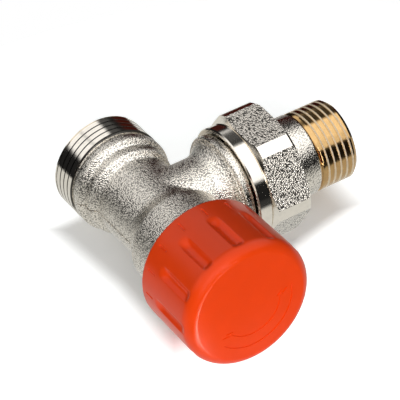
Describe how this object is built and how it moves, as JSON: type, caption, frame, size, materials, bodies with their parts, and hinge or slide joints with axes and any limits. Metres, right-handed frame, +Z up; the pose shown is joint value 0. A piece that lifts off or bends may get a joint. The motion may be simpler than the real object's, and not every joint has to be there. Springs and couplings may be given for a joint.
{
  "type": "angled thermostatic radiator valve",
  "caption": "Angled radiator valve: nickel-plated forged brass body, threaded pipe leg, union nut with threaded brass tail, and a fluted screw cap over its sprung stem.",
  "frame": {"origin": "centre of the bottom of the part's box, as it lies on its cap, pipe thread and nut", "axes": "+X along the radiator tail, out of its thread; +Y along the pipe leg, out of its thread, with the cap towards -Y; +Z up, square to both"},
  "size_m": [0.0706, 0.0706, 0.0353],
  "materials": {
    "nickel_body": "nickel-plated brass forging with a coarse blasted skin, bright where it is turned and threaded",
    "nickel_nut": "nickel-plated brass nut with blasted flats and bright turned corners and collar",
    "tail_brass": "bare turned brass thread on a nickel-plated neck",
    "brass": "bare turned brass",
    "stainless_steel": "ground stainless steel",
    "seal_rubber": "black sealing rubber",
    "white_plastic": "natural white sliding plastic",
    "cap_plastic": "orange-red moulded plastic with a soft satin gloss"
  },
  "bodies": {
    "body": {"valve_body": "nickel_body", "insert_body": "brass", "insert_o_ring": "seal_rubber", "gland_housing": "brass", "gland_o_ring_lower": "seal_rubber", "gland_washer": "brass", "gland_o_ring_upper": "seal_rubber", "gland_bush": "white_plastic", "gland_nut": "brass", "return_spring": "stainless_steel"},
    "stem": {"spindle": "stainless_steel", "push_pin": "stainless_steel", "spring_plate": "stainless_steel", "retaining_ring": "stainless_steel", "disc_holder": "brass", "disc_seal": "seal_rubber", "disc_washer": "brass", "disc_nut": "brass"},
    "cap": {"protective_cap": "cap_plastic"},
    "tail": {"tailpiece": "tail_brass", "tail_o_ring": "seal_rubber"},
    "nut": {"union_nut": "nickel_nut"}
  },
  "joints": [
    {"name": "stem_travel", "type": "slide", "parent": "body", "child": "stem", "axis": [0, -1, 0], "range_m": [0, 0.003], "deforming": ["return_spring"]},
    {"name": "cap_turn", "type": "hinge", "parent": "stem", "child": "cap", "pos_m": [-0.01767, -0.0248, 0.01766], "axis": [0, -1, 0], "range_deg": [0, 720]},
    {"name": "tail_travel", "type": "slide", "parent": "body", "child": "tail", "axis": [1, 0, 0], "range_m": [0, 0.0082]},
    {"name": "nut_turn", "type": "hinge", "parent": "tail", "child": "nut", "pos_m": [0.0097, 0.00679, 0.01766], "axis": [1, 0, 0], "range_deg": [0, 1620]}
  ],
  "couplings": [
    {"joint": "stem_travel", "follows": "cap_turn", "m_per_rad": 0.00023873},
    {"joint": "tail_travel", "follows": "nut_turn", "m_per_rad": 0.00028871}
  ]
}
